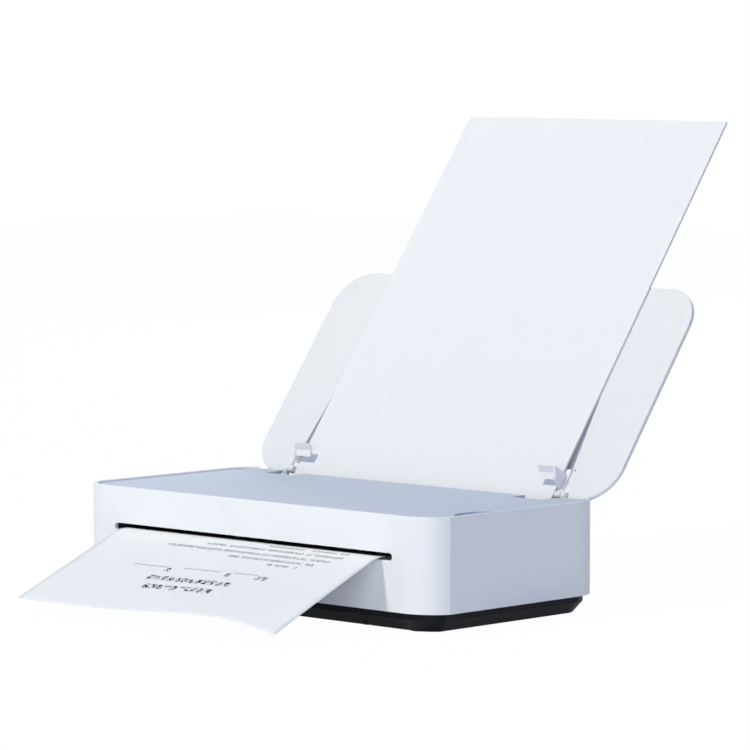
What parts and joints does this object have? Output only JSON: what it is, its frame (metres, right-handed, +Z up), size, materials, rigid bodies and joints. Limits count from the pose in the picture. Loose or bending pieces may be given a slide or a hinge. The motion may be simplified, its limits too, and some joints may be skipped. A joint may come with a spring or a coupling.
{
  "type": "inkjet printer",
  "caption": "Compact inkjet printer: white case on a black base, lid folded back as the paper tray, ink door on top, printed sheet leaving the front slot.",
  "frame": {"origin": "centre of the case's footprint, on the table under the feet", "axes": "+X to the printer's right, +Y to its rear, +Z up"},
  "size_m": [0.2918, 0.3925, 0.2823],
  "materials": {
    "white_case": "satin, fine moulded grain",
    "white_lid": "satin",
    "grey_plate": "matt, fine moulded grain",
    "black_base": "satin",
    "guide_white": "satin",
    "paper": "matt",
    "rubber_foot": "matt",
    "roller_rubber": "matt, ground",
    "steel": "bright zinc plate",
    "ground_steel": "ground and polished",
    "black_plastic": "matt",
    "nylon": "semi-matt",
    "grey_plastic": "matt",
    "absorber": "felt",
    "circuit": "lacquered",
    "belt_rubber": "matt",
    "film": "clear film with fine lines",
    "motor_can": "zinc plate",
    "cartridge_black": "gloss",
    "cartridge_colour": "gloss",
    "cap_rubber": "matt"
  },
  "bodies": {
    "case": {"base_tray": "black_base", "button_board": "circuit", "carriage_motor": "motor_can", "carriage_rod": "ground_steel", "case_screws": "steel", "drive_belt": "belt_rubber", "encoder_strip": "film", "exit_guide": "black_plastic", "feed_motor": "motor_can", "front_panel": "white_case", "front_rail": "steel", "gear_posts": "ground_steel", "idler_bracket": "grey_plastic", "ink_absorber": "absorber", "left_side_plate": "steel", "lid_pins": "ground_steel", "main_board": "circuit", "paper_chute": "grey_plastic", "pinch_bar": "black_plastic", "platen": "black_plastic", "power_inlet": "black_plastic", "power_supply": "black_plastic", "rear_shell": "white_case", "right_side_plate": "steel", "rubber_feet": "rubber_foot", "service_station": "grey_plastic", "star_wheel_bar": "black_plastic"},
    "top_plate": {"top_plate": "grey_plate"},
    "lid": {"lid": "white_lid", "paper_stack": "paper"},
    "right_guide": {"right_guide": "guide_white"},
    "left_guide": {"left_guide": "guide_white"},
    "guide_pinion": {"guide_pinion": "nylon"},
    "carriage": {"carriage": "black_plastic", "black_cartridge": "cartridge_black", "colour_cartridge": "cartridge_colour"},
    "motor_pulley": {"motor_pulley": "nylon"},
    "idler_pulley": {"idler_pulley": "nylon"},
    "feed_roller": {"feed_roller": "roller_rubber", "feed_gear": "nylon"},
    "exit_idler_gear": {"exit_idler_gear": "nylon"},
    "exit_roller": {"exit_roller": "roller_rubber", "exit_gear": "nylon"},
    "drive_pinion": {"drive_pinion": "nylon"},
    "first_pick_idler_gear": {"first_pick_idler_gear": "nylon"},
    "second_pick_idler_gear": {"second_pick_idler_gear": "nylon"},
    "pick_roller": {"pick_roller": "roller_rubber", "pick_gear": "nylon"},
    "pinch_rollers": {"pinch_rollers": "grey_plastic"},
    "star_wheels": {"star_wheels": "ground_steel"},
    "cap_sled": {"cap_sled": "nylon", "nozzle_caps": "cap_rubber"},
    "power_button": {"power_button": "guide_white"},
    "wireless_button": {"wireless_button": "guide_white"},
    "printed_sheet": {"printed_sheet": "paper"}
  },
  "joints": [
    {"name": "lid_hinge", "type": "hinge", "parent": "case", "child": "lid", "pos_m": [0, 0.07208, 0.06614], "axis": [-1, 0, 0], "range_deg": [-126.53, 0], "deforming": ["paper_stack"]},
    {"name": "door_hinge", "type": "hinge", "parent": "case", "child": "top_plate", "pos_m": [0, 0.0615, 0.0643], "axis": [-1, 0, 0], "range_deg": [0, 75]},
    {"name": "right_guide_slide", "type": "slide", "parent": "lid", "child": "right_guide", "axis": [1, 0, 0], "range_m": [0, 0.003]},
    {"name": "left_guide_slide", "type": "slide", "parent": "lid", "child": "left_guide", "axis": [-1, 0, 0], "range_m": [0, 0.003]},
    {"name": "guide_pinion_spin", "type": "hinge", "parent": "lid", "child": "guide_pinion", "pos_m": [0, 0.07936, 0.07451], "axis": [0, 0.8035, -0.5952], "range_deg": [0, 45]},
    {"name": "carriage_slide", "type": "slide", "parent": "case", "child": "carriage", "axis": [-1, 0, 0], "range_m": [0, 0.232]},
    {"name": "motor_pulley_spin", "type": "hinge", "parent": "case", "child": "motor_pulley", "pos_m": [0.128, -0.048, 0], "axis": [0, 0, 1], "range_deg": [0, 2430]},
    {"name": "idler_pulley_spin", "type": "hinge", "parent": "case", "child": "idler_pulley", "pos_m": [-0.134, -0.048, 0], "axis": [0, 0, 1], "range_deg": [0, 2430]},
    {"name": "feed_spin", "type": "hinge", "parent": "case", "child": "feed_roller", "pos_m": [0, 0.036, 0.026], "axis": [1, 0, 0], "continuous": true},
    {"name": "exit_idler_spin", "type": "hinge", "parent": "case", "child": "exit_idler_gear", "pos_m": [0, 0.018, 0.026], "axis": [1, 0, 0], "continuous": true},
    {"name": "exit_spin", "type": "hinge", "parent": "case", "child": "exit_roller", "pos_m": [0, 0, 0.026], "axis": [1, 0, 0], "continuous": true},
    {"name": "drive_spin", "type": "hinge", "parent": "case", "child": "drive_pinion", "pos_m": [0, 0.05217, 0.02075], "axis": [1, 0, 0], "continuous": true},
    {"name": "first_pick_idler_spin", "type": "hinge", "parent": "case", "child": "first_pick_idler_gear", "pos_m": [0, 0.03014, 0.04302], "axis": [1, 0, 0], "continuous": true},
    {"name": "second_pick_idler_spin", "type": "hinge", "parent": "case", "child": "second_pick_idler_gear", "pos_m": [0, 0.03865, 0.05148], "axis": [1, 0, 0], "continuous": true},
    {"name": "pick_spin", "type": "hinge", "parent": "case", "child": "pick_roller", "pos_m": [0, 0.05117, 0.04796], "axis": [1, 0, 0], "continuous": true},
    {"name": "pinch_spin", "type": "hinge", "parent": "case", "child": "pinch_rollers", "pos_m": [0, 0.036, 0.03435], "axis": [1, 0, 0], "continuous": true},
    {"name": "star_spin", "type": "hinge", "parent": "case", "child": "star_wheels", "pos_m": [0, 0, 0.03535], "axis": [1, 0, 0], "continuous": true},
    {"name": "cap_lift", "type": "slide", "parent": "case", "child": "cap_sled", "axis": [0, 0, 1], "range_m": [-0.004, 0], "stiffness_N_per_m": 200, "springref_m": 0.002},
    {"name": "power_press", "type": "slide", "parent": "case", "child": "power_button", "axis": [0, -1, 0], "range_m": [0, 0.0012], "stiffness_N_per_m": 500, "springref_m": -0.0002},
    {"name": "wireless_press", "type": "slide", "parent": "case", "child": "wireless_button", "axis": [0, -1, 0], "range_m": [0, 0.0012], "stiffness_N_per_m": 500, "springref_m": -0.0002},
    {"name": "sheet_exit", "type": "slide", "parent": "case", "child": "printed_sheet", "axis": [0, -0.9885, 0.1514], "range_m": [0, 0.15]}
  ],
  "couplings": [
    {"joint": "left_guide_slide", "follows": "right_guide_slide", "ratio": 1},
    {"joint": "guide_pinion_spin", "follows": "right_guide_slide", "rad_per_m": 250},
    {"joint": "motor_pulley_spin", "follows": "carriage_slide", "rad_per_m": 181.82},
    {"joint": "idler_pulley_spin", "follows": "carriage_slide", "rad_per_m": 181.82},
    {"joint": "exit_idler_spin", "follows": "feed_spin", "ratio": -2},
    {"joint": "exit_spin", "follows": "feed_spin", "ratio": 1},
    {"joint": "drive_spin", "follows": "feed_spin", "ratio": -2.4},
    {"joint": "first_pick_idler_spin", "follows": "feed_spin", "ratio": -2},
    {"joint": "second_pick_idler_spin", "follows": "feed_spin", "ratio": 2},
    {"joint": "pick_spin", "follows": "feed_spin", "ratio": -1.7143},
    {"joint": "pinch_spin", "follows": "feed_spin", "ratio": -1.5156},
    {"joint": "star_spin", "follows": "feed_spin", "ratio": -1.3472}
  ]
}
